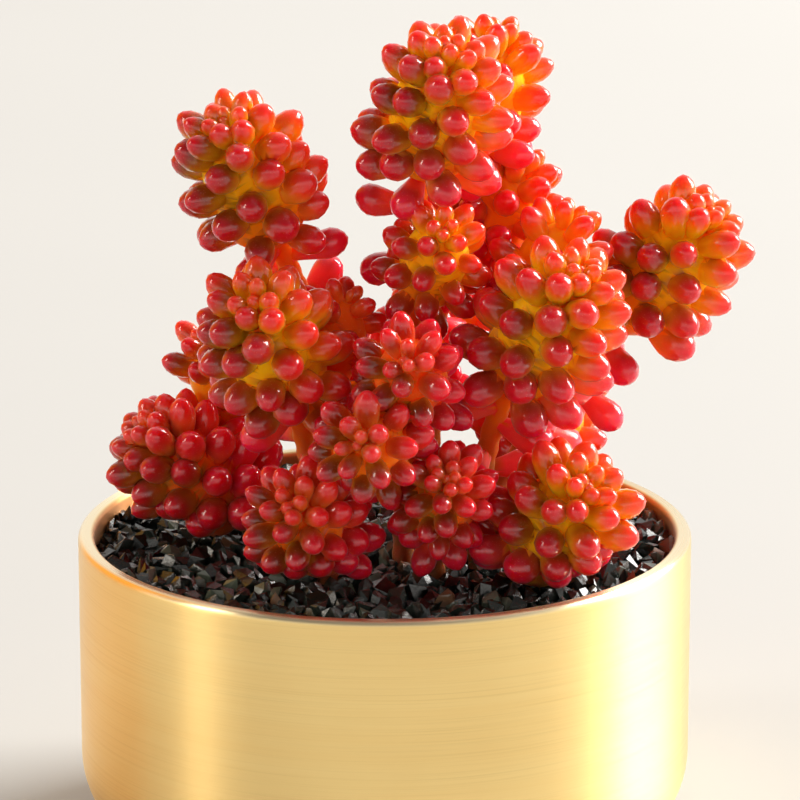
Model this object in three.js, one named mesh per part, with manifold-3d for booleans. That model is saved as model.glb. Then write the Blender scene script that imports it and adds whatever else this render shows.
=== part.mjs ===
// A jelly bean sedum in a round brushed brass pot. Millimetres, +Z up.
// The origin is the centre of the pot's flat underside. The front of the plant looks along -Y.
import * as THREE from 'three';
import { mergeVertices } from 'three/addons/utils/BufferGeometryUtils.js';
import Module from 'manifold-3d';

const wasm = await Module();
wasm.setup();

// ---- Driving dimensions ----

const POT_RADIUS = 50;
const POT_HEIGHT = 52;
const POT_WALL = 2.7;
const POT_CORNER = 15;       // outside radius where the wall turns into the underside
const LIP_ROUND = 1;
const ROUND_SIDES = 36;      // flats round the pot and the soil

const FIT_GAP = 0.3;         // clear distance between pieces that don't rest on each other
const SOIL_TOP = 40;
const GRIT_TOP = 49.4;
const GRIT_RELIEF = 0.8;     // how far stones stand above or below the mean surface
const GRIT_RINGS = 11;

const STEM_RADIUS = 1.7;
const STEM_SIDES = 5;
const STEM_STEPS = 5;
const STEM_FOOT = 34;        // height of the floor of each planting hole, in the soil
const STEM_COLLAR = 50;      // height where a stem leaves the grit and starts to lean
const HOLE_RADIUS = 2.4;
const ROOT_PULL = 0.35;      // how far a stem keeps its first direction, and the one that it ends in,
const TIP_PULL = 0.4;        // as shares of its reach

const LEAF_LENGTH = 12.3;    // a full-grown leaf
const LEAF_THICKNESS = 5.5;
const LEAF_SIDES = 5;
const LEAF_GAP = 0.25;       // least distance between leaves of different shoots
const YOUNGEST = 0.6;        // size of the youngest leaf in a head, as a share of a full-grown one
const GROWN_AT = 0.25;       // how far down a head its leaves are full-grown
const FIRST_TILT = 5;        // degrees from the growing direction, at the tip and at the bottom of a head
const LAST_TILT = 90;
const GOLDEN_ANGLE = Math.PI * (3 - Math.sqrt(5));

const HEAD_LENGTH = 18;      // length of stem that the packed leaves of a full-sized head cover
const CORE_LENGTH = 25;      // the spindle of packed leaf bases in it
const CORE_RADIUS = 7.4;
const CORE_SIDES = 5;
const BURIED_SHARE = 0.6;    // how far out in that spindle, from its axis, a packed leaf starts
const APEX_DEPTH = 1.2;      // how far below the stem's tip the youngest leaf starts
const BARE_STEP = 5.5;       // from one leaf to the next along the stem below a head
const LOOSE_SHARE = 0.82;    // length of those leaves, as a share of a full-grown one

// ---- Small helpers ----

const v3 = (x, y, z) => new THREE.Vector3(x, y, z);

// Points of an arc in a lathe profile, its ends included. Angles in degrees from the +radius direction.
function arc(cr, cz, radius, from, to, steps) {
  return Array.from({ length: steps + 1 }, (_, i) => {
    const a = THREE.MathUtils.degToRad(from + ((to - from) * i) / steps);
    return new THREE.Vector2(cr + radius * Math.cos(a), cz + radius * Math.sin(a));
  });
}

// A solid of revolution about Z from a profile of (radius, height) points that starts and ends on the axis.
function turned(profile, sides) {
  return new THREE.LatheGeometry(profile, sides).rotateX(Math.PI / 2);
}

// A closed three.js geometry as a solid that can be joined and cut.
function solid(geometry) {
  const bare = geometry.index ? geometry : geometry.clone();
  bare.deleteAttribute('normal');
  bare.deleteAttribute('uv');
  const merged = mergeVertices(bare, 1e-3);
  return new wasm.Manifold(new wasm.Mesh({
    numProp: 3,
    vertProperties: new Float32Array(merged.attributes.position.array),
    triVerts: new Uint32Array(merged.index.array),
  }));
}

function geometryOf(shape) {
  const mesh = shape.getMesh();
  const geometry = new THREE.BufferGeometry();
  geometry.setAttribute('position', new THREE.BufferAttribute(mesh.vertProperties, 3));
  geometry.setIndex(new THREE.BufferAttribute(mesh.triVerts, 1));
  return geometry;
}

const joined = (shapes) => shapes.reduce((all, next) => all.add(next));
const cut = (shape, tools) => tools.reduce((rest, tool) => rest.subtract(tool), shape);

// ---- Pot ----

function potGeometry() {
  const inside = POT_RADIUS - POT_WALL;
  const cornerR = POT_RADIUS - POT_CORNER;
  return turned([
    new THREE.Vector2(0, 0),
    ...arc(cornerR, POT_CORNER, POT_CORNER, -90, 0, 4),
    ...arc(POT_RADIUS - LIP_ROUND, POT_HEIGHT - LIP_ROUND, LIP_ROUND, 0, 90, 2),
    ...arc(inside + LIP_ROUND, POT_HEIGHT - LIP_ROUND, LIP_ROUND, 90, 180, 2),
    ...arc(cornerR, POT_CORNER, POT_CORNER - POT_WALL, 0, -90, 3),
    new THREE.Vector2(0, POT_WALL),
  ], ROUND_SIDES);
}

// ---- Soil and grit ----

// One planting hole, wider than the stem that stands in it.
function plantingHole([x, y]) {
  const depth = POT_HEIGHT - STEM_FOOT;
  return solid(new THREE.CylinderGeometry(HOLE_RADIUS, HOLE_RADIUS, depth, STEM_SIDES)
    .rotateX(Math.PI / 2).translate(x, y, STEM_FOOT + depth / 2));
}

function soilGeometry(feet) {
  const radius = POT_RADIUS - POT_WALL - FIT_GAP;
  const cornerR = POT_RADIUS - POT_CORNER;
  const corner = arc(cornerR, POT_CORNER, radius - cornerR, -60, 0, 2);
  const body = turned([
    new THREE.Vector2(0, POT_WALL),
    new THREE.Vector2(cornerR - 1, POT_WALL),
    ...corner,
    new THREE.Vector2(radius, SOIL_TOP),
    new THREE.Vector2(0, SOIL_TOP),
  ], ROUND_SIDES);
  return geometryOf(cut(solid(body), feet.map(plantingHole)));
}

// Height of the grit above or below its mean surface: a rough, stony relief with no pattern.
function gritRelief(x, y) {
  const noise = Math.sin(x * 12.9898 + y * 78.233) * 43758.5453;
  return GRIT_RELIEF * (2 * (noise - Math.floor(noise)) - 1);
}

// A disc whose top is rings of 6, 12, 18 ... points, so that its facets are all about one stone wide.
function gritGeometry(feet) {
  const radius = POT_RADIUS - POT_WALL - FIT_GAP;
  const ringStart = (ring) => (ring === 0 ? 0 : 1 + 3 * ring * (ring - 1));
  const positions = [];
  const faces = [];
  for (let ring = 0; ring <= GRIT_RINGS; ring++) {
    const points = Math.max(1, 6 * ring);
    const r = (radius * ring) / GRIT_RINGS;
    for (let k = 0; k < points; k++) {
      const a = (2 * Math.PI * k) / points;
      const x = r * Math.cos(a);
      const y = r * Math.sin(a);
      const edge = ring === GRIT_RINGS ? -GRIT_RELIEF : gritRelief(x, y);
      positions.push(x, y, GRIT_TOP + edge);
    }
  }
  for (let ring = 1; ring <= GRIT_RINGS; ring++) {
    const outer = (k) => ringStart(ring) + (k % (6 * ring));
    const inner = (k) => ringStart(ring - 1) + (k % Math.max(1, 6 * (ring - 1)));
    for (let side = 0; side < 6; side++) {
      for (let k = 0; k < ring; k++) {
        const out = side * ring + k;
        const inn = side * (ring - 1) + k;
        faces.push(outer(out), outer(out + 1), inner(inn));
        if (k < ring - 1) faces.push(inner(inn), outer(out + 1), inner(inn + 1));
      }
    }
  }
  // The side wall and the flat bottom, which lies on the soil.
  const rim = 6 * GRIT_RINGS;
  const top = ringStart(GRIT_RINGS);
  const bottom = positions.length / 3;
  for (let k = 0; k < rim; k++) {
    positions.push(positions[3 * (top + k)], positions[3 * (top + k) + 1], SOIL_TOP);
  }
  const centre = positions.length / 3;
  positions.push(0, 0, SOIL_TOP);
  for (let k = 0; k < rim; k++) {
    const next = (k + 1) % rim;
    faces.push(top + k, bottom + k, bottom + next, top + k, bottom + next, top + next);
    faces.push(centre, bottom + next, bottom + k);
  }
  const body = new THREE.BufferGeometry();
  body.setAttribute('position', new THREE.Float32BufferAttribute(positions, 3));
  body.setIndex(faces);
  return geometryOf(cut(solid(body), feet.map(plantingHole)));
}

// ---- Shoots ----

// Each shoot stands at a foot [x, y] in the soil. Every tip that it carries is one leafy head: tip is the end of the
// stem, axis the direction it grows in there, leaves the number packed round it and size its scale. The first tip is
// the shoot's own. The others are side shoots, which leave its stem at the height given by from.
const SHOOTS = [
  { name: 'shoot_tall', foot: [4, 6], lean: [0, 0, 1], tips: [
    { tip: [9.7, -18.4, 133], axis: [0.22, -0.46, 0.86], leaves: 19, size: 1.02, bare: 3 },
    { from: 78, tip: [9.2, -18.2, 105.4], axis: [0.15, -0.71, 0.69], leaves: 12, size: 0.85, bare: 0 },
    { from: 88, tip: [18.4, 7, 131], axis: [0, -0.2, 0.98], leaves: 14, size: 0.92, bare: 4 },
    { from: 76, tip: [22.3, 6, 110.5], axis: [0.25, -0.4, 0.88], leaves: 10, size: 0.88, bare: 2 },
  ] },
  { name: 'shoot_right_front', foot: [15, -8], lean: [0, 0, 1], tips: [
    { tip: [29.4, -23.4, 98.8], axis: [0.52, -0.34, 0.78], leaves: 18, size: 1.08, bare: 4 },
    { from: 74, tip: [29.1, -6.5, 104.6], axis: [0.21, -0.5, 0.84], leaves: 9, size: 0.85, bare: 1 },
  ] },
  { name: 'shoot_left_front', foot: [-11, -6], lean: [0, 0, 1], tips: [
    { tip: [-19.8, -28, 95.9], axis: [-0.22, -0.67, 0.71], leaves: 17, size: 1.04, bare: 3 },
    { from: 72, tip: [-5.9, -12.1, 93.2], axis: [0.17, -0.77, 0.62], leaves: 7, size: 0.75, bare: 0 },
  ] },
  { name: 'shoot_far_right', foot: [13, 3], lean: [0.5, 0, 0.87], tips: [
    { tip: [50.7, -2.5, 103.6], axis: [0.5, -0.26, 0.83], leaves: 17, size: 1.02, bare: 4 },
  ] },
  { name: 'shoot_far_left', foot: [-6, 9], lean: [0, 0, 1], tips: [
    { tip: [-24.4, -13.4, 120.8], axis: [-0.32, -0.36, 0.88], leaves: 17, size: 1.02, bare: 4 },
  ] },
  { name: 'shoot_low_right', foot: [22, -16], lean: [0, 0, 1], tips: [
    { tip: [30.8, -30.8, 66.8], axis: [0.4, -0.6, 0.69], leaves: 18, size: 1.04, bare: 0 },
  ] },
  { name: 'shoot_low_left', foot: [-9, -17], lean: [0, 0, 1], tips: [
    { tip: [-13.8, -33.3, 65.2], axis: [-0.42, -0.89, 0.16], leaves: 14, size: 0.9, bare: 0 },
  ] },
  { name: 'shoot_middle', foot: [3, -7], lean: [0, 0, 1], tips: [
    { tip: [3.4, -35.6, 89.3], axis: [-0.24, -0.94, 0.25], leaves: 12, size: 0.85, bare: 1 },
    { from: 62, tip: [-3.8, -39.8, 77.4], axis: [-0.16, -0.97, 0.19], leaves: 12, size: 0.85, bare: 0 },
  ] },
  { name: 'shoot_low_middle', foot: [8, -16], lean: [0, 0, 1], tips: [
    { tip: [9.7, -33.5, 69.5], axis: [0.01, -0.93, 0.36], leaves: 14, size: 0.8, bare: 0 },
  ] },
  { name: 'shoot_outer_left', foot: [-20, 5], lean: [-0.3, 0, 0.95], tips: [
    { tip: [-37.8, 1.1, 66.9], axis: [-0.53, -0.61, 0.59], leaves: 15, size: 1.02, bare: 1 },
  ] },
  { name: 'shoot_back_left', foot: [-19, 17], lean: [0, 0, 1], tips: [
    { tip: [-28.5, 9, 80.5], axis: [-0.15, -0.5, 0.85], leaves: 10, size: 0.85, bare: 1 },
  ] },
  { name: 'shoot_back_middle', foot: [7, 20], lean: [0, 0, 1], tips: [
    { tip: [13, 29, 98], axis: [0.1, 0.4, 0.9], leaves: 12, size: 0.95, bare: 2 },
    { from: 62, tip: [-7, 29, 74], axis: [-0.5, 0.35, 0.79], leaves: 10, size: 0.9, bare: 0 },
  ] },
  { name: 'shoot_back_right', foot: [22, 18], lean: [0, 0, 1], tips: [
    { tip: [29, 27, 70], axis: [0.3, 0.4, 0.86], leaves: 11, size: 0.95, bare: 0 },
  ] },
];

// The line that a stem follows: straight up out of the grit, or out of its parent, then over into its own axis.
function stemPath(start, startAxis, tip, axis) {
  const reach = start.distanceTo(tip);
  return new THREE.CubicBezierCurve3(
    start,
    start.clone().addScaledVector(startAxis, reach * ROOT_PULL),
    tip.clone().addScaledVector(axis, -reach * TIP_PULL),
    tip,
  );
}

// Where a stem is, and which way it grows, at a distance below its tip.
const shareBelow = (head, below) => THREE.MathUtils.clamp(1 - below / head.length, 0, 1);
const pointBelow = (head, below) => head.path.getPointAt(shareBelow(head, below));
const directionBelow = (head, below) => head.path.getTangentAt(shareBelow(head, below));

// The spindle of packed leaf bases inside a head: shares of its full radius and of its length, from the bottom up.
const CORE_PROFILE = [[0, 0], [1, 0.32], [0.88, 0.8], [0, 1]];

function coreRadius(head, below) {
  const share = 1 - below / head.core.length;
  const k = CORE_PROFILE.findIndex(([, t]) => t >= share);
  if (k < 1) return 0;
  const [[r0, t0], [r1, t1]] = [CORE_PROFILE[k - 1], CORE_PROFILE[k]];
  return CORE_RADIUS * head.size * (r0 + ((r1 - r0) * (share - t0)) / (t1 - t0));
}

// One leaf: a bean that starts in a point, is widest past its middle and ends blunt. start is how much of its length
// is lost among the packed leaf bases.
function leafGeometry({ length, thickness, start }) {
  const profile = [[0, start], [0.5 * thickness, 0.72 * length], [0.38 * thickness, 0.91 * length], [0, length]]
    .map((point) => new THREE.Vector2(...point));
  return new THREE.LatheGeometry(profile, LEAF_SIDES);
}

// The leaves of one head, youngest first, each turned by the golden angle from the one before. Down the head they
// get longer and lie over until they stand square to the stem. A few more stand on the stem below it.
function headLeaves(head) {
  return Array.from({ length: head.leaves + head.bare }, (_, i) => {
    const isPacked = i < head.leaves;
    const age = Math.min(i / (head.leaves - 1), 1) ** 0.85;
    const onStem = Math.max(0, i - head.leaves + 1) * BARE_STEP;
    const below = APEX_DEPTH + HEAD_LENGTH * head.size * age ** 1.3 + onStem;
    const along = isPacked ? head.core.direction : directionBelow(head, below);
    const base = isPacked ? head.core.top.clone().addScaledVector(along, -below) : pointBelow(head, below);
    const across = v3(1, 0, 0).addScaledVector(along, -along.x).normalize();
    const side = along.clone().cross(across);
    const turn = i * GOLDEN_ANGLE + head.turn;
    const out = across.multiplyScalar(Math.cos(turn)).addScaledVector(side, Math.sin(turn));
    const tilt = THREE.MathUtils.degToRad(FIRST_TILT + (LAST_TILT - FIRST_TILT) * age ** 0.6);
    const grown = YOUNGEST + (1 - YOUNGEST) * Math.min(1, age / GROWN_AT);
    return {
      base,
      direction: along.clone().multiplyScalar(Math.cos(tilt)).addScaledVector(out, Math.sin(tilt)),
      length: LEAF_LENGTH * head.size * (isPacked ? grown : LOOSE_SHARE),
      thickness: LEAF_THICKNESS * head.size * grown ** 0.7,
      start: isPacked ? BURIED_SHARE * coreRadius(head, below) * Math.sin(tilt) : 0,
    };
  });
}

// The space that a leaf takes up: a line with a radius round it, as for a core or a piece of stem.
function leafSpace({ base, direction, length, thickness }) {
  const radius = thickness / 2;
  return {
    from: base.clone().addScaledVector(direction, radius),
    to: base.clone().addScaledVector(direction, length - radius),
    radius,
  };
}

// Least distance between two straight lines with ends.
function lineDistance(a, b) {
  const d1 = a.to.clone().sub(a.from);
  const d2 = b.to.clone().sub(b.from);
  const r = a.from.clone().sub(b.from);
  const [aa, ee, f] = [d1.dot(d1), d2.dot(d2), d2.dot(r)];
  const [c, bb] = [d1.dot(r), d1.dot(d2)];
  const denominator = aa * ee - bb * bb;
  const clamp = (t) => Math.min(1, Math.max(0, t));
  let s = denominator > 1e-9 ? clamp((bb * f - c * ee) / denominator) : 0;
  let t = (bb * s + f) / ee;
  if (t < 0) [s, t] = [clamp(-c / aa), 0];
  if (t > 1) [s, t] = [clamp((bb - c) / aa), 1];
  return r.addScaledVector(d1, s).addScaledVector(d2, -t).length();
}

// A leaf has room if it stays above the grit and the lip, and off everything that belongs to other shoots.
function hasRoom(leaf, others) {
  const space = leafSpace(leaf);
  const lowest = Math.min(space.from.z, space.to.z) - space.radius;
  const overLip = Math.hypot(space.to.x, space.to.y) > POT_RADIUS - POT_WALL - LEAF_THICKNESS;
  if (lowest < (overLip ? POT_HEIGHT : GRIT_TOP + GRIT_RELIEF) + FIT_GAP) return false;
  return others.every((other) => lineDistance(space, other) > space.radius + other.radius + LEAF_GAP);
}

// Works out every head of a shoot: the path of its stem and the core that its leaves are packed round.
function growHeads({ foot, lean, tips }, index) {
  const heads = [];
  for (const [k, spec] of tips.entries()) {
    const tip = v3(...spec.tip);
    const parent = heads[0]?.path;
    let start = v3(...foot, STEM_COLLAR);
    let startAxis = v3(...lean).normalize();
    if (parent) {
      let share = 0;
      while (parent.getPointAt(share).z < spec.from) share += 0.01;
      start = parent.getPointAt(share);
      startAxis = tip.clone().sub(start).normalize().add(parent.getTangentAt(share)).normalize();
    }
    const path = stemPath(start, startAxis, tip, v3(...spec.axis).normalize());
    const head = { ...spec, path, length: path.getLength(), turn: 1.3 * index + 2.1 * k };
    const low = pointBelow(head, CORE_LENGTH * head.size);
    head.core = { top: tip, low, length: tip.distanceTo(low), direction: tip.clone().sub(low).normalize() };
    heads.push(head);
  }
  return heads;
}

// The spaces that a head's stem and core take up.
function stemSpaces({ path, core, size }) {
  const points = path.getSpacedPoints(8);
  const spaces = points.slice(1).map((to, k) => ({ from: points[k], to, radius: STEM_RADIUS }));
  spaces.push({
    from: core.top.clone().lerp(core.low, 0.2),
    to: core.top.clone().lerp(core.low, 0.7),
    radius: CORE_RADIUS * size,
  });
  return spaces;
}

function coreGeometry(head) {
  const { low, length, direction } = head.core;
  const profile = CORE_PROFILE.map(([r, t]) => new THREE.Vector2(r * CORE_RADIUS * head.size, t * length));
  const turn = new THREE.Quaternion().setFromUnitVectors(v3(0, 1, 0), direction);
  return new THREE.LatheGeometry(profile, CORE_SIDES).applyQuaternion(turn).translate(low.x, low.y, low.z);
}

function stemGeometry(head) {
  const section = new THREE.Shape(Array.from({ length: STEM_SIDES }, (_, k) => {
    const a = (2 * Math.PI * k) / STEM_SIDES;
    return new THREE.Vector2(STEM_RADIUS * Math.cos(a), STEM_RADIUS * Math.sin(a));
  }));
  return new THREE.ExtrudeGeometry(section, { steps: STEM_STEPS, bevelEnabled: false, extrudePath: head.path });
}

const shoots = SHOOTS.map((shoot, index) => ({ ...shoot, heads: growHeads(shoot, index) }));

// Leaves are given room in the order of the list: a leaf that would touch another shoot or the grit is made shorter
// or turned upwards, by the first of these pairs of [share of its length, lift] that gives it room. A leaf that none
// of them gives room hasn't grown.
const taken = shoots.map((shoot) => shoot.heads.flatMap(stemSpaces));
const FITS = [[1, 0], [0.9, 0], [0.95, 0.4], [0.8, 0], [0.85, 0.8], [0.7, 0], [0.7, 0.4], [0.7, 1.2], [0.6, 0]];
for (const [index, shoot] of shoots.entries()) {
  const others = taken.filter((_, k) => k !== index).flat();
  shoot.leaves = [];
  for (const head of shoot.heads) {
    for (const leaf of headLeaves(head)) {
      const fitted = FITS.map(([share, lift]) => ({
        ...leaf,
        direction: leaf.direction.clone().add(v3(0, 0, lift)).normalize(),
        start: leaf.start / (1 + 2 * lift),
        length: leaf.length * share,
        thickness: leaf.thickness * Math.sqrt(share),
      })).find((trial) => hasRoom(trial, others));
      if (fitted) shoot.leaves.push(fitted);
    }
  }
  taken[index].push(...shoot.leaves.map(leafSpace));
}

function shootGeometry(shoot) {
  const [x, y] = shoot.foot;
  const footHeight = STEM_COLLAR + 1 - STEM_FOOT;
  const foot = new THREE.CylinderGeometry(STEM_RADIUS, STEM_RADIUS, footHeight, STEM_SIDES)
    .rotateX(Math.PI / 2).translate(x, y, STEM_FOOT + footHeight / 2);
  const leaves = shoot.leaves.map((leaf) => {
    const { x: lx, y: ly, z: lz } = leaf.base;
    const turn = new THREE.Quaternion().setFromUnitVectors(v3(0, 1, 0), leaf.direction);
    return leafGeometry(leaf).applyQuaternion(turn).translate(lx, ly, lz);
  });
  const stems = shoot.heads.flatMap((head) => [stemGeometry(head), coreGeometry(head)]);
  return geometryOf(joined([foot, ...stems, ...leaves].map(solid)));
}

// ---- The whole object ----

function piece(name, geometry, color, roughness, metalness) {
  const mesh = new THREE.Mesh(geometry, new THREE.MeshStandardMaterial({ color, roughness, metalness }));
  mesh.name = name;
  return mesh;
}

const feet = shoots.map((shoot) => shoot.foot);
const plant = new THREE.Group();
plant.add(piece('pot', potGeometry(), 0xd9b36a, 0.35, 1));
plant.add(piece('potting_soil', soilGeometry(feet), 0x3a2a1e, 0.95, 0));
plant.add(piece('black_grit', gritGeometry(feet), 0x1d1f1e, 0.45, 0));
for (const shoot of shoots) plant.add(piece(shoot.name, shootGeometry(shoot), 0xd8442a, 0.35, 0));

export default plant;
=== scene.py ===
import math

import bmesh
import bpy
import numpy as np
from mathutils import Matrix, Vector


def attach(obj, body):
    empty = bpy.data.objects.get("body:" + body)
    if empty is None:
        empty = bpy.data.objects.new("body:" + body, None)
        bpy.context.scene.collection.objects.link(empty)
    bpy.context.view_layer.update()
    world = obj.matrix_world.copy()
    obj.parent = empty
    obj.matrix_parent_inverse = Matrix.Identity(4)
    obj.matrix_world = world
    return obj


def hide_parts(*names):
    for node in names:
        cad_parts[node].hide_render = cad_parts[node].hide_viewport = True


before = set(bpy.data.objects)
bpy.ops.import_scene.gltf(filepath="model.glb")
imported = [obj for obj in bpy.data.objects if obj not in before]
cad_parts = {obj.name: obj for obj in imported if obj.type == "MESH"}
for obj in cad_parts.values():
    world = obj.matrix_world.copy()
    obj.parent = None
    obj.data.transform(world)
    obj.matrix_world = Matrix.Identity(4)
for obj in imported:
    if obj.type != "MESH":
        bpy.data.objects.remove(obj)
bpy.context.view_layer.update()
MM = 0.001


# ---- Pot ----
# A round pot spun from one sheet of brass, with a straight wall that turns into a flat underside. It is
# brushed round and round with a fine abrasive and left bare of lacquer. Its thick lip is eased, and polished
# paler than the wall.

POT_RADIUS, POT_HEIGHT, POT_WALL = 50 * MM, 52 * MM, 2.7 * MM
POT_INSIDE = POT_RADIUS - POT_WALL
POT_CORNER, LIP_ROUND = 15 * MM, 1 * MM
FLAT_RINGS = (8 * MM, 20 * MM)             # rings of points on the flat underside, inside the corner
CORNER_RING, LIP_RING = 1 * MM, 0.6 * MM   # how far from a round stretch the first ring of the wall lies
POT_SIDES, OUTER_STEPS, INNER_STEPS, LIP_STEPS = 160, 18, 10, 6
LIP_FADE = (0.25 * MM, 0.9 * MM)           # how far from its edges the polish of the lip begins and is full
INNER_FADE = (0.15 * MM, 0.75 * MM)        # where the darker copper colour of the inside fades out across the lip
LINES_PER_M, BANDS_PER_M, NICKS_PER_M = 3400, 420, 95
LINE_RUN, BAND_RUN = 22, 9                 # how often lines and bands change in a metre round the pot
BRUSH_DEPTH = 0.02 * MM
BRASS = (0.98, 0.73, 0.31)
BRASS_WARM = (0.93, 0.60, 0.21)
BRASS_LINE = (0.60, 0.40, 0.15)
BRASS_NICK = (0.95, 0.82, 0.55)
LIP_BRASS = (0.94, 0.78, 0.50)
COPPER = (0.50, 0.17, 0.05)


class Sock:
    """What a node gives out. Sums written with it become Math nodes."""

    def __init__(self, nodes, socket):
        self.nodes, self.socket = nodes, socket

    def sum(self, operation, *parts):
        return self.nodes.add("ShaderNodeMath", {"operation": operation}, dict(enumerate(parts)))

    def __add__(self, other):
        return self.sum("ADD", self, other)

    def __sub__(self, other):
        return self.sum("SUBTRACT", self, other)

    def __rsub__(self, other):
        return self.sum("SUBTRACT", other, self)

    def __mul__(self, other):
        return self.sum("MULTIPLY", self, other)

    __radd__ = __add__

    def above(self, edge):
        return self.sum("GREATER_THAN", self, edge)

    def root(self):
        return self.sum("SQRT", self)

    def ease(self, start, end):
        """0 before start, 1 past end, and smooth between them."""
        return self.nodes.add("ShaderNodeMapRange", {"interpolation_type": "SMOOTHSTEP"},
                              {"Value": self, "From Min": start, "From Max": end})


class Nodes:
    """A node tree, with one method that adds any node to it."""

    def __init__(self, tree):
        self.tree = tree
        self.made = None

    def add(self, kind, settings=None, values=None, out=0):
        """A node with its settings and what goes into it. Gives one of its outputs, by name or by number."""
        node = self.tree.nodes.new(kind)
        self.made = node
        for name, value in (settings or {}).items():
            setattr(node, name, value)
        shown = [socket for socket in node.inputs if socket.enabled]
        for name, value in (values or {}).items():
            socket = shown[name] if isinstance(name, int) else next(s for s in shown if s.name == name)
            if isinstance(value, Sock):
                self.tree.links.new(value.socket, socket)
            elif socket.type == "RGBA" and len(value) == 3:
                socket.default_value = (*value, 1)
            else:
                socket.default_value = value
        outs = [socket for socket in node.outputs if socket.enabled]
        return Sock(self, outs[out] if isinstance(out, int) else next(s for s in outs if s.name == out))

    def mix(self, share, first, second):
        """One colour passing into another."""
        return self.add("ShaderNodeMix", {"data_type": "RGBA"}, {"Factor": share, "A": first, "B": second})

    def vector(self, x, y, z):
        return self.add("ShaderNodeCombineXYZ", None, {"X": x, "Y": y, "Z": z})

    def noise(self, vector, scale, detail=2.0, roughness=0.5):
        return self.add("ShaderNodeTexNoise", None,
                        {"Vector": vector, "Scale": scale, "Detail": detail, "Roughness": roughness}, "Fac")

    def cells(self, vector, scale):
        """Distance from the middle of the nearest of many scattered cells."""
        return self.add("ShaderNodeTexVoronoi", None, {"Vector": vector, "Scale": scale}, "Distance")


class Finish(Nodes):
    """A new material that ends in one Principled shader. Plain numbers go on the shader's own sockets."""

    def __init__(self, name, **settings):
        self.material = bpy.data.materials.new(name)
        self.material.use_nodes = True
        super().__init__(self.material.node_tree)
        self.shader = self.tree.nodes["Principled BSDF"]
        for socket, value in settings.items():
            self.shader.inputs[socket.replace("_", " ")].default_value = value

    def place(self):
        """Where a point is on the object, as (vector, x, y, z)."""
        vector = self.add("ShaderNodeTexCoord", None, None, "Object")
        split = self.add("ShaderNodeSeparateXYZ", None, {"Vector": vector})
        parts = self.made.outputs
        return vector, split, Sock(self, parts["Y"]), Sock(self, parts["Z"])

    def carried(self, name, out="Fac"):
        """A value that the points of the mesh carry."""
        return self.add("ShaderNodeAttribute", {"attribute_name": name}, None, out)

    def stretched(self, vector, x, y, z):
        """The same vector, with x, y and z times its parts."""
        return self.add("ShaderNodeVectorMath", {"operation": "MULTIPLY"}, {0: vector, 1: (x, y, z)})

    def bump(self, height, distance, strength=1.0):
        self.feed(Normal=self.add("ShaderNodeBump", None,
                                  {"Height": height, "Distance": distance, "Strength": strength}))

    def feed(self, **links):
        for socket, value in links.items():
            self.tree.links.new(value.socket, self.shader.inputs[socket.replace("_", " ")])


def arc(centre_r, centre_z, radius, start, end, steps):
    """Points of an arc in a turned profile, its ends included. Degrees from the outward direction."""
    turns = [math.radians(start + (end - start) * k / steps) for k in range(steps + 1)]
    return [(centre_r + radius * math.cos(a), centre_z + radius * math.sin(a)) for a in turns]


def ring_faces(rings, sides):
    """Faces of a closed body made of rings of points, between one point at its start and one at its end."""
    last = 1 + rings * sides
    faces = [(0, 1 + (k + 1) % sides, 1 + k) for k in range(sides)]
    for ring in range(rings - 1):
        low, high = 1 + ring * sides, 1 + (ring + 1) * sides
        faces += [(low + k, low + (k + 1) % sides, high + (k + 1) % sides, high + k) for k in range(sides)]
    top = last - sides
    return faces + [(top + k, top + (k + 1) % sides, last) for k in range(sides)]


def turned(name, profile, sides):
    """A closed solid of revolution from a profile that starts and ends on the axis."""
    turns = [math.tau * k / sides for k in range(sides)]
    rings = profile[1:-1]
    points = [(0, 0, profile[0][1])]
    for r, z in rings:
        points += [(r * math.cos(a), r * math.sin(a), z) for a in turns]
    points.append((0, 0, profile[-1][1]))
    mesh = bpy.data.meshes.new(name)
    mesh.from_pydata(points, [], ring_faces(len(rings), sides))
    mesh.shade_smooth()
    piece = bpy.data.objects.new(name, mesh)
    bpy.context.scene.collection.objects.link(piece)
    return piece


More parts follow.
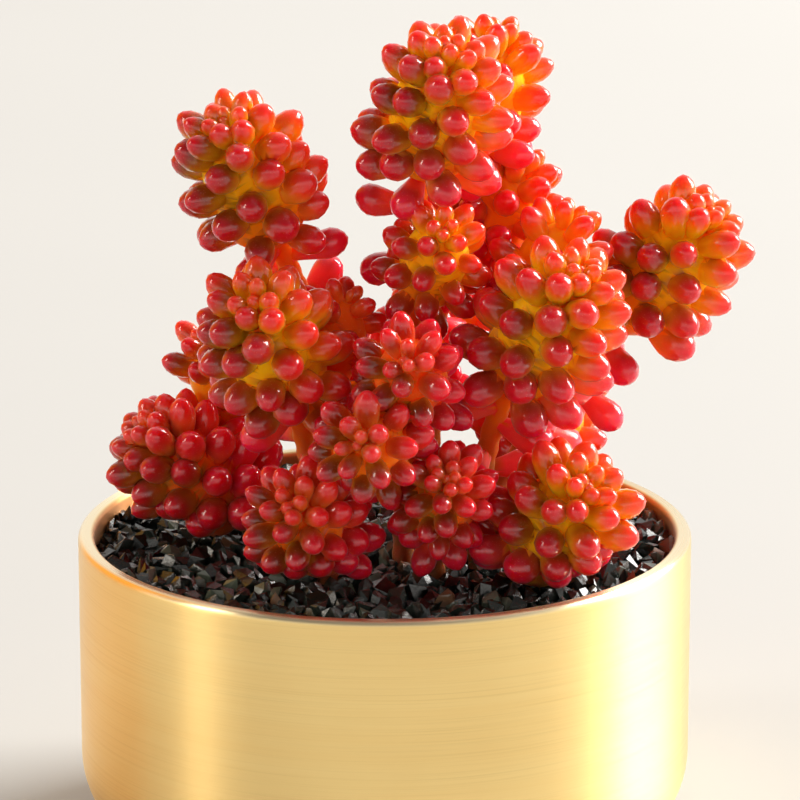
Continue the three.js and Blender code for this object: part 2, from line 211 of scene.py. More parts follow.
def brushed_brass():
    brass = Finish("brushed_brass", Metallic=1.0, Anisotropic=0.92, Anisotropic_Rotation=0.25)
    place, x, y, z = brass.place()
    across = (x * x + y * y).root()
    # Lines run round the wall and the underside alike: they change fast with the height or the distance from
    # the axis, and slowly round the pot.
    line = brass.vector(x * LINE_RUN, y * LINE_RUN, (z - across) * LINES_PER_M)
    coarse = brass.vector(x * BAND_RUN, y * BAND_RUN, (z - across) * BANDS_PER_M)
    streak = brass.noise(line, 1.0, 4, 0.65)
    band = brass.noise(coarse, 1.0, 3, 0.6)
    cloud = brass.noise(place, 28, 3)
    # Handling has left a few short upright nicks and pin dots.
    cell = brass.cells(brass.stretched(place, 1, 1, 0.28), NICKS_PER_M)
    pick = Sock(brass, brass.made.outputs["Color"])
    few = brass.add("ShaderNodeSeparateXYZ", None, {"Vector": pick}).above(0.90)
    nick = (1 - cell.ease(0.015, 0.05)) * few
    lip = z.ease(POT_HEIGHT - LIP_FADE[1], POT_HEIGHT - LIP_FADE[0]) * across.ease(
        POT_INSIDE + LIP_FADE[0], POT_INSIDE + LIP_FADE[1])
    inner = 1 - across.ease(POT_INSIDE + INNER_FADE[0], POT_INSIDE + INNER_FADE[1])
    colour = brass.mix((cloud - 0.3) * 0.5 + (band - 0.5) * 0.5, BRASS, BRASS_WARM)
    colour = brass.mix(streak.ease(0.45, 0.80) * 0.22, colour, BRASS_LINE)
    colour = brass.mix(lip, colour, LIP_BRASS)
    colour = brass.mix(inner * 0.85, colour, COPPER)
    colour = brass.mix(nick * 0.55, colour, BRASS_NICK)
    roughness = 0.37 + (streak - 0.5) * 0.16 + (cloud - 0.5) * 0.10 - lip * 0.08
    brass.feed(Base_Color=colour, Roughness=roughness)
    brass.bump(streak * 0.5 + band * 0.25 - nick * 1.5, BRUSH_DEPTH, 0.8)
    return brass.material


corner_r = POT_RADIUS - POT_CORNER
lip_z = POT_HEIGHT - LIP_ROUND
pot = turned("brass_pot", [
    (0, 0), *[(r, 0) for r in FLAT_RINGS], (corner_r - CORNER_RING, 0),
    *arc(corner_r, POT_CORNER, POT_CORNER, -90, 0, OUTER_STEPS),
    (POT_RADIUS, POT_CORNER + CORNER_RING), (POT_RADIUS, lip_z - LIP_RING),
    *arc(POT_RADIUS - LIP_ROUND, lip_z, LIP_ROUND, 0, 90, LIP_STEPS),
    *arc(POT_INSIDE + LIP_ROUND, lip_z, LIP_ROUND, 90, 180, LIP_STEPS),
    (POT_INSIDE, lip_z - LIP_RING), (POT_INSIDE, POT_CORNER + CORNER_RING),
    *arc(corner_r, POT_CORNER, POT_CORNER - POT_WALL, 0, -90, INNER_STEPS),
    (FLAT_RINGS[-1], POT_WALL), (0, POT_WALL),
], POT_SIDES)
pot.data.materials.append(brushed_brass())
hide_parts("pot")
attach(pot, "root")


# ---- Potting soil ----
# Dark, fibrous potting soil fills the pot to about a centimetre below the lip. It is pressed in round the
# roots, and the grit hides all of it.

SOIL_DARK, SOIL_DRY, SOIL_FIBRE = (0.018, 0.010, 0.006), (0.055, 0.031, 0.017), (0.15, 0.09, 0.04)
CRUMB_HEIGHT = 0.6 * MM


def damp_soil():
    soil = Finish("damp_soil", Roughness=0.95)
    place, *_ = soil.place()
    crumb = soil.noise(place, 900, 4, 0.65)
    patch = soil.noise(place, 160, 3)
    fibre = 1 - soil.cells(soil.stretched(place, 1, 3, 1), 500).ease(0.0, 0.12)
    colour = soil.mix(patch.ease(0.35, 0.65), SOIL_DARK, SOIL_DRY)
    soil.feed(Base_Color=soil.mix(fibre, colour, SOIL_FIBRE))
    soil.bump(crumb + patch * 0.6, CRUMB_HEIGHT)
    return soil.material


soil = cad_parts["potting_soil"]
soil.data.materials.clear()
soil.data.materials.append(damp_soil())


# ---- Grit ----
# Black volcanic grit, crushed and sieved to a few millimetres, is poured over the soil up to just below the
# lip. Each chip is angular, with flat glassy breaks, and lies as it fell.

GRIT_RADIUS = POT_INSIDE - 0.3 * MM
GRIT_TOP, SOIL_TOP = 49.4 * MM, 40 * MM
BED_BOTTOM, BED_TOP = SOIL_TOP + 0.02 * MM, GRIT_TOP - 1.1 * MM
BED_RINGS, BED_SIDES = 26, 96
CHIP_SHAPES, CHIP_CORNERS = 7, 13
CHIP_ROUGH = (0.40, 0.56)                 # how far its corners lie from its middle, as shares of its size
CHIP_FORM = np.array([1.15, 0.90, 0.72])  # and how long, wide and thick it is, in the same measure
CHIP_SPACING = 2.1 * MM
SMALLEST_CHIP, LARGEST_CHIP = 2.5 * MM, 5.0 * MM
CHIP_SINK, CHIP_RISE = -0.25 * MM, 0.55 * MM
CHIPS_PER_M2 = 900000.0                   # before those closer than the spacing are taken out
CHIP_SEED, POUR_SEED = 40, 11
STONE_BLACK, STONE_GREY = (0.003, 0.005, 0.004), (0.020, 0.028, 0.022)
STONE_PALE, STONE_RUSTY, STONE_DUST = (0.09, 0.11, 0.08), (0.16, 0.08, 0.04), (0.030, 0.036, 0.026)
BREAK_RELIEF = 0.10 * MM


def hull_chip(name, seed):
    """One chip: the convex hull of a few points on a squashed ball, about one unit across."""
    draw = np.random.default_rng(seed)
    corners = draw.normal(size=(CHIP_CORNERS, 3))
    corners /= np.linalg.norm(corners, axis=1)[:, None]
    corners *= draw.uniform(*CHIP_ROUGH, (CHIP_CORNERS, 1))
    corners *= CHIP_FORM * draw.uniform(0.9, 1.1, 3)
    bm = bmesh.new()
    for corner in corners:
        bm.verts.new(corner)
    bmesh.ops.convex_hull(bm, input=bm.verts)
    bmesh.ops.delete(bm, geom=[v for v in bm.verts if not v.link_faces], context="VERTS")
    bmesh.ops.recalc_face_normals(bm, faces=bm.faces)
    mesh = bpy.data.meshes.new(name)
    bm.to_mesh(mesh)
    bm.free()
    return bpy.data.objects.new(name, mesh)


class Growth(Nodes):
    """A node tree that makes one geometry from another, with named inputs."""

    def __init__(self, name, source, **inputs):
        super().__init__(bpy.data.node_groups.new(name, "GeometryNodeTree"))
        for label, kind in ({source: "Geometry"} | inputs).items():
            self.tree.interface.new_socket(label.replace("_", " "), in_out="INPUT",
                                           socket_type="NodeSocket" + kind)
        self.source = self.add("NodeGroupInput")
        self.given = {socket.name: Sock(self, socket) for socket in self.made.outputs if socket.name}

    def drawn(self, kind, low, high, seed):
        """A random value for each point."""
        return self.add("FunctionNodeRandomValue", {"data_type": kind},
                        {"Min": low, "Max": high, "Seed": seed})

    def joined(self, *parts):
        """Several geometries as one."""
        whole = self.add("GeometryNodeJoinGeometry")
        for part in parts:
            self.tree.links.new(part.socket, self.made.inputs[0])
        return whole

    def shapes(self, objects):
        """Objects to pick from by their number in the list."""
        return self.joined(*[self.add("GeometryNodeObjectInfo", None, {"Object": item, "As Instance": True},
                                      "Geometry") for item in reversed(objects)])

    def finish(self, geometry, material):
        """Gives the geometry its material and hands it out."""
        self.tree.interface.new_socket("Whole", in_out="OUTPUT", socket_type="NodeSocketGeometry")
        done = self.add("GeometryNodeSetMaterial", None, {"Geometry": geometry, "Material": material})
        self.tree.links.new(done.socket, self.tree.nodes.new("NodeGroupOutput").inputs[0])
        return self.tree


def poured_grit_tree(chips):
    """Chips scattered over a bed: points kept apart, each with a chip picked, turned and sized at random."""
    grit = Growth("poured_grit", "Bed", Spacing="Float", Smallest_chip="Float", Largest_chip="Float",
                  Seed="Int", Stone="Material")
    given, seed = grit.given, grit.given["Seed"]
    spots = grit.add("GeometryNodeDistributePointsOnFaces", {"distribute_method": "POISSON"},
                     {"Mesh": grit.source, "Distance Min": given["Spacing"], "Density Max": CHIPS_PER_M2,
                      "Seed": seed})
    # Some chips lie a little deeper or higher than the bed.
    lift = grit.drawn("FLOAT_VECTOR", (0, 0, CHIP_SINK), (0, 0, CHIP_RISE), seed + 1)
    spots = grit.add("GeometryNodeSetPosition", None, {"Geometry": spots, "Offset": lift})
    turn = grit.drawn("FLOAT_VECTOR", (0, 0, 0), (math.tau, math.tau, math.tau), seed + 2)
    size = grit.drawn("FLOAT", given["Smallest chip"], given["Largest chip"], seed + 3)
    pick = grit.drawn("INT", 0, CHIP_SHAPES - 1, seed + 4)
    poured = grit.add("GeometryNodeInstanceOnPoints", None,
                      {"Points": spots, "Instance": grit.shapes(chips), "Pick Instance": True,
                       "Instance Index": pick, "Rotation": turn, "Scale": size})
    tint = grit.drawn("FLOAT", 0.0, 1.0, seed + 5)
    poured = grit.add("GeometryNodeStoreNamedAttribute", {"data_type": "FLOAT", "domain": "INSTANCE"},
                      {"Geometry": poured, "Name": "chip_tint", "Value": tint})
    loose = grit.add("GeometryNodeRealizeInstances", None, {"Geometry": poured})
    return grit.finish(grit.joined(loose, grit.source), given["Stone"])


def made_plain(piece, name, tree, **values):
    """What a tree makes of a piece, as a plain mesh object in place of the piece."""
    maker = piece.modifiers.new(name, "NODES")
    maker.node_group = tree
    for socket in tree.interface.items_tree:
        key = socket.name.replace(" ", "_")
        if key in values:
            maker[socket.identifier] = values[key]
    bpy.context.view_layer.update()
    seen = piece.evaluated_get(bpy.context.evaluated_depsgraph_get())
    mesh = bpy.data.meshes.new_from_object(seen)
    mesh.name = name
    plain = bpy.data.objects.new(name, mesh)
    bpy.context.scene.collection.objects.link(plain)
    bpy.data.objects.remove(piece)
    return plain


def black_stone():
    stone = Finish("black_stone", IOR=1.7)
    place, *_ = stone.place()
    tint = stone.carried("chip_tint")
    grain = stone.noise(place, 2200, 4, 0.7)
    patch = stone.noise(place, 420, 3)
    colour = stone.mix(tint.ease(0.1, 0.9), STONE_BLACK, STONE_GREY)
    colour = stone.mix(tint.above(0.88), colour, STONE_PALE)
    colour = stone.mix(tint.above(0.975), colour, STONE_RUSTY)
    colour = stone.mix(patch.ease(0.50, 0.75) * 0.6, colour, STONE_DUST)
    stone.feed(Base_Color=colour, Roughness=0.05 + grain * 0.18 + tint * 0.08)
    stone.bump(grain + patch, BREAK_RELIEF, 0.6)
    return stone.material


def bed_relief(x, y):
    """How far the poured bed rises or sinks at a place, all in millimetres."""
    return (0.30 * math.sin(0.31 * x + 1.7) * math.cos(0.27 * y)
            + 0.22 * math.sin(0.83 * x + 0.6 * y) + 0.15 * math.cos(1.3 * y - 0.7 * x))


bed = turned("grit_bed", [
    (0, BED_BOTTOM), (GRIT_RADIUS * 0.5, BED_BOTTOM), (GRIT_RADIUS, BED_BOTTOM),
    *[(GRIT_RADIUS * (1 - k / BED_RINGS), BED_TOP) for k in range(BED_RINGS)], (0, BED_TOP),
], BED_SIDES)
for vertex in bed.data.vertices:
    if vertex.co.z > SOIL_TOP + 1 * MM:
        vertex.co.z += bed_relief(vertex.co.x / MM, vertex.co.y / MM) * MM
chips = [hull_chip(f"chip_{k}", CHIP_SEED + k) for k in range(CHIP_SHAPES)]
grit = made_plain(bed, "grit_chips", poured_grit_tree(chips), Seed=POUR_SEED, Stone=black_stone(),
                  Spacing=CHIP_SPACING, Smallest_chip=SMALLEST_CHIP, Largest_chip=LARGEST_CHIP)
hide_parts("black_grit")
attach(grit, "root")


# ---- Shoots ----
# A jelly bean sedum: branching stems as thick as a straw, each ending in a tight head of watery, bean-shaped
# leaves that grow in a golden-angle spiral. Strong sun has turned the leaves from yellow at the base to red
# at the tip.

STEM_RADIUS, STEM_FOOT, STEM_COLLAR = 1.7 * MM, 34 * MM, 50 * MM
STEM_SIDES, STEM_STEP, FEWEST_STEPS = 14, 0.9 * MM, 24
STEM_RIPPLE, RIPPLE_LENGTH = 0.07, 0.55 * MM   # old leaf scars ring a bare stem
ROOT_PULL, TIP_PULL = 0.35, 0.4                # how long a stem keeps its first and its last direction
LINE_POINTS = 201
HEAD_LENGTH, CORE_LENGTH, CORE_RADIUS = 18 * MM, 25 * MM, 6.9 * MM
CORE_SPAN = (0.65, 0.25)       # the thick stretch of a core, as shares of its length below the tip
APEX_DEPTH, BARE_STEP = 1.2 * MM, 3.1 * MM
LEAF_LENGTH, LEAF_THICKNESS = 12.3 * MM, 5.25 * MM
LEAF_BENDS = (0.02, 0.10, 0.18)
LEAF_SIDES = 12
LEAF_RINGS = [(0.05, 0.40), (0.30, 0.62), (0.50, 0.84), (0.65, 0.98), (0.78, 0.98), (0.89, 0.76),
              (0.965, 0.41)]   # how far along a leaf each ring of points lies, and how wide it is there
YOUNGEST, GROWN_AT = 0.36, 0.36   # size of the youngest leaf, and the age at which a leaf is full-grown
FIRST_TILT, LAST_TILT = 4, 94     # degrees that the youngest and the oldest leaf lean away from the stem
LOOSE_SHARE = 0.82             # length of a leaf on the stem below a head, as a share of a full-grown one
GOLDEN_ANGLE = math.pi * (3 - math.sqrt(5))
SHOOT_TURN, HEAD_TURN = 1.3, 2.1   # how far the spirals of the next shoot and of its next head are turned
TURN_SPREAD, TILT_SPREAD = 0.05, 2.5        # how much leaves differ: in radians and in degrees,
GIRTH_SPREAD, LENGTH_SPREAD = 0.045, 0.035  # and as shares of their size
LEAF_SEED = 5
LEAF_GAP = -0.7 * MM           # leaves of neighbouring shoots may press this far into each other
CLOSER = 2.2 * MM              # and those of two heads of one shoot this much further
LIP_CLEARANCE, GRIT_CLEARANCE = 0.3 * MM, 1.2 * MM
# A leaf without room is made shorter or turned upwards: pairs of a share of its length and a lift.
FITS = [(1, 0), (0.9, 0), (0.95, 0.4), (0.8, 0), (0.85, 0.8), (0.7, 0), (0.7, 0.4), (0.7, 1.2), (0.6, 0),
        (0.5, 0.3), (0.45, 0)]
WELD, STEM_WELD = 0.004 * MM, 0.002 * MM    # points closer than this become one
SHARP_ANGLE = 0.75                          # radians, from which a crease between two leaves stays sharp

# Where each shoot stands, the direction it leaves the grit in, and each head that it carries: the end of its
# stem and the direction it grows in there, the number of leaves packed round it, its scale, and half the
# number of its lower, looser leaves. The stem of a later head starts at a height on the first head's stem.
# glow is how yellow the leaf bases are, their own colour with a painted glow of light through them;
# wine how deep the painted shade is on the side of the leaves away from the light; and blush how pink
# the old ones are, their own colour with a painted glow of light through them.
SHOOTS = [
    ("shoot_tall", (4, 6), (0, 0, 1), [
        dict(tip=(9.7, -18.4, 133), axis=(0.22, -0.46, 0.86), leaves=49, size=1.02, bare=3,
             glow=0.95, shade_depth=0.33, blush=0.4),
        dict(start=78, tip=(9.2, -18.2, 105.4), axis=(0.15, -0.71, 0.69), leaves=31, size=0.78, bare=0,
             glow=0.8, shade_depth=0.1, blush=0.25),
        dict(start=88, tip=(18.4, 7, 131), axis=(0, -0.2, 0.98), leaves=36, size=0.92, bare=4,
             glow=0.85, shade_depth=0.0, blush=0.7),
        dict(start=76, tip=(22.3, 6, 110.5), axis=(0.25, -0.4, 0.88), leaves=34, size=0.88, bare=5,
             glow=0.5, shade_depth=0.0, blush=0.8),
    ]),
    ("shoot_right_front", (15, -8), (0, 0, 1), [
        dict(tip=(29.4, -23.4, 98.8), axis=(0.52, -0.34, 0.78), leaves=47, size=1.08, bare=4,
             glow=0.95, shade_depth=0.45, blush=0.6),
        dict(start=74, tip=(29.1, -6.5, 104.6), axis=(0.21, -0.5, 0.84), leaves=23, size=0.85, bare=1,
             glow=0.6, shade_depth=0.25, blush=0.25),
    ]),
    ("shoot_left_front", (-11, -6), (0, 0, 1), [
        dict(tip=(-19.8, -28, 95.9), axis=(-0.22, -0.67, 0.71), leaves=44, size=1.04, bare=3,
             glow=0.95, shade_depth=0.25, blush=0.2),
        dict(start=72, tip=(-5.9, -12.1, 93.2), axis=(0.17, -0.77, 0.62), leaves=18, size=0.75, bare=0,
             glow=0.2, shade_depth=0.5, blush=0.25),
    ]),
    ("shoot_far_right", (13, 3), (0.5, 0, 0.87), [
        dict(tip=(50.7, -2.5, 103.6), axis=(0.5, -0.26, 0.83), leaves=44, size=1.02, bare=4,
             glow=0.95, shade_depth=0.65, blush=0.25),
    ]),
    ("shoot_far_left", (-6, 9), (0, 0, 1), [
        dict(tip=(-24.4, -13.4, 120.8), axis=(-0.32, -0.36, 0.88), leaves=44, size=1.02, bare=4,
             glow=0.85, shade_depth=0.5, blush=0.25),
    ]),
    ("shoot_low_right", (22, -16), (0, 0, 1), [
        dict(tip=(30.8, -30.8, 66.8), axis=(0.4, -0.6, 0.69), leaves=47, size=1.04, bare=0,
             glow=0.95, shade_depth=0.3, blush=1.0),
    ]),
    ("shoot_low_left", (-9, -17), (0, 0, 1), [
        dict(tip=(-13.8, -33.3, 65.2), axis=(-0.42, -0.89, 0.16), leaves=44, size=0.9, bare=0,
             glow=0.25, shade_depth=0.42, blush=0.5),
    ]),
    ("shoot_middle", (3, -7), (0, 0, 1), [
        dict(tip=(3.4, -35.6, 89.3), axis=(-0.24, -0.94, 0.25), leaves=31, size=0.85, bare=1,
             glow=0.15, shade_depth=0.6, blush=0.5),
        dict(start=62, tip=(-3.8, -39.8, 77.4), axis=(-0.16, -0.97, 0.19), leaves=31, size=0.85, bare=0,
             glow=0.3, shade_depth=0.6, blush=0.3),
    ]),
    ("shoot_low_middle", (8, -16), (0, 0, 1), [
        dict(tip=(9.7, -33.5, 69.5), axis=(0.01, -0.93, 0.36), leaves=44, size=0.8, bare=0,
             glow=0.2, shade_depth=0.4, blush=0.9),
    ]),
    ("shoot_outer_left", (-20, 5), (-0.3, 0, 0.95), [
        dict(tip=(-37.8, 1.1, 66.9), axis=(-0.53, -0.61, 0.59), leaves=52, size=1.02, bare=1,
             glow=0.2, shade_depth=0.65, blush=0.4),
    ]),
    ("shoot_back_left", (-19, 17), (0, 0, 1), [
        dict(tip=(-28.5, 9, 80.5), axis=(-0.15, -0.5, 0.85), leaves=26, size=0.85, bare=1,
             glow=0.5, shade_depth=0.1, blush=0.25),
    ]),
    ("shoot_back_middle", (7, 20), (0, 0, 1), [
        dict(tip=(13, 29, 98), axis=(0.1, 0.4, 0.9), leaves=31, size=0.95, bare=2,
             glow=0.7, shade_depth=0.1, blush=0.25),
        dict(start=62, tip=(-7, 29, 74), axis=(-0.5, 0.35, 0.79), leaves=26, size=0.9, bare=0,
             glow=0.5, shade_depth=0.2, blush=0.25),
    ]),
    ("shoot_back_right", (22, 18), (0, 0, 1), [
        dict(tip=(29, 27, 70), axis=(0.3, 0.4, 0.86), leaves=29, size=0.95, bare=0,
             glow=0.5, shade_depth=0.15, blush=0.25),
    ]),
]

YELLOW = (1.0, 0.50, 0.004)
AMBER = (1.0, 0.31, 0.002)
SCARLET = (0.90, 0.018, 0.006)
CRIMSON = (0.78, 0.003, 0.035)
ROSE = (0.98, 0.018, 0.095)
PINK = (1.0, 0.075, 0.12)
EMBER = (1.0, 0.025, 0.012)
# Painted shade turns leaf bases and the top of a core olive, and leaf tips maroon.
OLIVE = (0.40, 0.20, 0.002)
MAROON = (0.13, 0.004, 0.008)
BARK, OLD_BARK = (0.42, 0.12, 0.035), (0.20, 0.07, 0.03)
BARK_YOUNG_AT, BARK_OLD_AT = 62 * MM, 52 * MM   # heights between which the bark turns old
LEAF_TIP = (0.60, 0.004, 0.022)
LEAF_DOTS = (0.95, 0.42, 0.30)
LEAF_RIM_SHEEN = (1.0, 0.38, 0.30)
UPPER_SHADE = (0.34, 0.14, 0.30)                    # how much of each colour the upper side of a leaf keeps under its painted shade
FLESH_DEPTH = 5.5 * MM                          # how far light gets in the flesh of a leaf
SKIN_RELIEF = 0.06 * MM
SHADE_SIDE = Vector((-0.72, -0.40, -0.57)).normalized()   # away from the tall window

# What each point of a drawing carries: the kind of value, where it is kept, and the value if none is given.
CARRIED = {
    "girth": ("FLOAT", "value", 0.0),
    "is_leaf": ("BOOLEAN", "value", False),
    "leaf_shape": ("INT", "value", 0),
    "leaf_turn": ("FLOAT_VECTOR", "vector", (0, 0, 0)),
    "leaf_size": ("FLOAT_VECTOR", "vector", (1, 1, 1)),
    "base_colour": ("FLOAT_COLOR", "color", (*BARK, 1)),
    "tip_colour": ("FLOAT_COLOR", "color", (*BARK, 1)),
    "along": ("FLOAT", "value", 0.0),
    "rise": ("FLOAT", "value", 0.0),
}


class StemLine:
    """The line of a stem: straight out of the grit or of its parent, then over to its tip's direction."""

    def __init__(self, start, start_axis, tip, axis):
        reach = (tip - start).length
        pull = [start, start + start_axis * reach * ROOT_PULL, tip - axis * reach * TIP_PULL, tip]
        t = np.linspace(0, 1, LINE_POINTS)[:, None]
        a, b, c, d = (np.array(p) for p in pull)
        self.points = (1 - t) ** 3 * a + 3 * (1 - t) ** 2 * t * b + 3 * (1 - t) * t ** 2 * c + t ** 3 * d
        steps = np.linalg.norm(np.diff(self.points, axis=0), axis=1)
        self.lengths = np.concatenate([[0], np.cumsum(steps)])
        self.length = self.lengths[-1]

    def at(self, share):
        way = min(max(share, 0), 1) * self.length
        return Vector(np.interp(way, self.lengths, self.points[:, k]) for k in range(3))

    def heading(self, share):
        near = 0.002
        share = min(max(share, near), 1 - near)
        return (self.at(share + near) - self.at(share - near)).normalized()

    def below(self, way):
        """The share of the line that lies before a point that far from its tip."""
        return 1 - way / self.length


def between(value, start, end):
    """0 before start, 1 past end, and smooth between them."""
    share = min(max((value - start) / (end - start), 0), 1)
    return share * share * (3 - 2 * share)


def blend(share, first, second):
    return tuple(a + (b - a) * share for a, b in zip(first, second))


def grow_heads(index, foot, lean, tips):
    """The path and the core of every head of a shoot."""
    heads = []
    for k, spec in enumerate(tips):
        tip, axis = Vector(spec["tip"]) * MM, Vector(spec["axis"]).normalized()
        start, start_axis = Vector((foot[0] * MM, foot[1] * MM, STEM_COLLAR)), Vector(lean).normalized()
        if heads:
            parent, share = heads[0]["line"], 0.0
            while parent.at(share).z < spec["start"] * MM:
                share += 0.01
            start = parent.at(share)
            start_axis = ((tip - start).normalized() + parent.heading(share)).normalized()
        line = StemLine(start, start_axis, tip, axis)
        low = line.at(line.below(CORE_LENGTH * spec["size"]))
        heads.append({**spec, "line": line, "tip": tip, "core_axis": (tip - low).normalized(),
                      "turn": SHOOT_TURN * index + HEAD_TURN * k})
    return heads


def head_leaves(head, draw):
    """The leaves of a head, youngest first, and the looser ones on the stem below it."""
    packed = head["leaves"]
    loose = 2 * head["bare"]
    for i in range(packed + loose):
        age = min(i / (packed - 1), 1) ** 0.85
        on_stem = max(0, i - packed + 1) * BARE_STEP
        below = APEX_DEPTH + HEAD_LENGTH * head["size"] * age ** 1.3 + on_stem
        if i < packed:
            along = head["core_axis"]
            base = head["tip"] - along * below
        else:
            share = head["line"].below(below)
            along, base = head["line"].heading(share), head["line"].at(share)
        across = (Vector((1, 0, 0)) - along * along.x).normalized()
        side = along.cross(across)
        turn = i * GOLDEN_ANGLE + head["turn"] + draw.normal(0, TURN_SPREAD)
        out = across * math.cos(turn) + side * math.sin(turn)
        tilt = math.radians(FIRST_TILT + (LAST_TILT - FIRST_TILT) * age ** 0.6 + draw.normal(0, TILT_SPREAD))
        grown = YOUNGEST + (1 - YOUNGEST) * min(1, age / GROWN_AT) ** 0.8
        plump = draw.normal(1, GIRTH_SPREAD) * (0.9 + 0.1 * between(age, 0.4, 0.9))
        length = LEAF_LENGTH * head["size"] * grown * draw.normal(1, LENGTH_SPREAD)
        yield {
            "age": age,
            "loose": i >= packed,
            "base": base,
            "stem": along,
            "towards": along * math.cos(tilt) + out * math.sin(tilt),
            "length": length * (1 if i < packed else LOOSE_SHARE),
            "girth": LEAF_THICKNESS * head["size"] * grown ** 0.85 * plump,
            "shape": int(draw.integers(0, len(LEAF_BENDS))),
            "shift": float(draw.uniform(-1, 1)),
        }


def leaf_colours(leaf, head):
    """The colours of a leaf's base and tip. Young leaves are the yellowest. Painted shade darkens a leaf
    that faces away from the tall window, and a painted glow makes one that faces it more yellow and amber.
    """
    age, shade_depth, facing = leaf["age"], head["shade_depth"], leaf["towards"].dot(SHADE_SIDE)
    # Painted shade: the more a leaf faces away from the tall window, the less yellow it is painted, and an
    # older one darker, towards olive at its base and maroon at its tip.
    glow = min(1, max(0, head["glow"] + 0.5 * (0.4 - age) - 0.22 * between(facing, -0.2, 0.9)))
    painted_shade = between(facing, -0.15, 0.75) * (0.55 + 0.55 * shade_depth) + 0.45 * shade_depth * between(facing, -1, 0.1)
    painted_shade = min(1, max(0, 1.2 * painted_shade + 0.10 * leaf["shift"])) * between(age, -0.1, 0.35)
    # Old leaves are pinker: partly their own colour and partly a painted glow of light shining through them,
    # which makes them less yellow and takes away some of their painted shade.
    blush = 1.0 if leaf["loose"] else head["blush"] * between(age, 0.55, 0.95)
    glow, painted_shade = glow * (1 - 0.7 * blush), painted_shade * (1 - 0.8 * blush)
    tip = blend(blush, blend(glow, CRIMSON, SCARLET), ROSE)
    tip = blend(between(0.25 - age, 0, 0.25) * 0.35, tip, AMBER)
    # Painted glow: a leaf that faces the tall window gets an amber tip, as of light coming through it.
    tip = blend(between(-facing, -0.3, 0.8) * glow * (1 - blush) * 0.32, tip, AMBER)
    base = blend(glow, CRIMSON, blend(0.30 + 0.3 * leaf["shift"], YELLOW, AMBER))
    base = blend(0.6 * blush, base, PINK)
    return blend(painted_shade * 0.75, base, OLIVE), blend(painted_shade, tip, MAROON)


def line_gap(a0, a1, b0, b1):
    """Least distance from one straight piece to each of many others."""
    d1, d2, r = a1 - a0, b1 - b0, a0 - b0
    aa, ee, f = d1 @ d1, np.einsum("ij,ij->i", d2, d2), np.einsum("ij,ij->i", d2, r)
    c, bb = r @ d1, d2 @ d1
    level = np.maximum(aa * ee - bb * bb, 1e-18)
    s = np.clip((bb * f - c * ee) / level, 0, 1)
    t = (bb * s + f) / np.maximum(ee, 1e-12)
    s = np.where(t < 0, np.clip(-c / aa, 0, 1), np.where(t > 1, np.clip((bb - c) / aa, 0, 1), s))
    t = np.clip(t, 0, 1)
    return np.linalg.norm(r + s[:, None] * d1 - t[:, None] * d2, axis=1)


def has_room(leaf, share, towards, others):
    """The space of a leaf of that share of its length, if it clears the grit, the lip and other heads."""
    girth = leaf["girth"] * math.sqrt(share)
    start = np.array(leaf["base"] + towards * girth / 2)
    end = np.array(leaf["base"] + towards * (leaf["length"] * share - girth / 2))
    over_lip = math.hypot(end[0], end[1]) > POT_INSIDE - LEAF_THICKNESS
    floor = POT_HEIGHT + LIP_CLEARANCE if over_lip else GRIT_TOP + GRIT_CLEARANCE
    if min(start[2], end[2]) - girth / 2 < floor:
        return None
    gaps = line_gap(start, end, others[:, :3], others[:, 3:6])
    if (gaps < girth / 2 + others[:, 6] + LEAF_GAP).any():
        return None
    return np.array([*start, *end, girth / 2])


def fit_in(leaf, head, others):
    """Makes a leaf as small as it has to be and colours it. Gives its space, or None if it finds no room."""
    for share, lift in FITS:
        towards = (leaf["towards"] + Vector((0, 0, lift))).normalized()
        space = has_room(leaf, share, towards, others)
        if space is not None:
            leaf["towards"] = towards
            leaf["length"] *= share
            leaf["girth"] *= math.sqrt(share)
            leaf["colours"] = leaf_colours(leaf, head)
            return space
    return None


def stem_space(head, parts=8):
    """The space of a stem and its core, as rows of two ends and a radius."""
    reach = [np.array(head["line"].at(share)) for share in np.linspace(0, 1, parts + 1)]
    stem = [[*reach[j], *reach[j + 1], STEM_RADIUS] for j in range(parts)]
    low, high = (head["tip"] - head["core_axis"] * CORE_LENGTH * head["size"] * share for share in CORE_SPAN)
    return np.array(stem + [[*low, *high, CORE_RADIUS * head["size"]]])


def bean(name, bend):
    """One leaf of unit length and girth, widest past its middle. Its points carry how far along it they are,
    and how far up its upper side."""
    turns = [math.tau * k / LEAF_SIDES for k in range(LEAF_SIDES)]
    points, along, rise = [(0, 0, 0)], [0.0], [0.0]
    for height, width in LEAF_RINGS:
        lift = bend * height * height
        points += [(lift + 0.5 * width * math.cos(a), 0.5 * width * math.sin(a), height) for a in turns]
        along += [height] * LEAF_SIDES
        rise += [math.cos(a) * min(1, 2 * (1 - height) + 0.2) for a in turns]
    points.append((bend, 0, 1))
    along.append(1.0)
    rise.append(0.0)
    mesh = bpy.data.meshes.new(name)
    mesh.from_pydata(points, [], ring_faces(len(LEAF_RINGS), LEAF_SIDES))
    mesh.attributes.new("along", "FLOAT", "POINT").data.foreach_set("value", along)
    mesh.attributes.new("rise", "FLOAT", "POINT").data.foreach_set("value", rise)
    return bpy.data.objects.new(name, mesh)


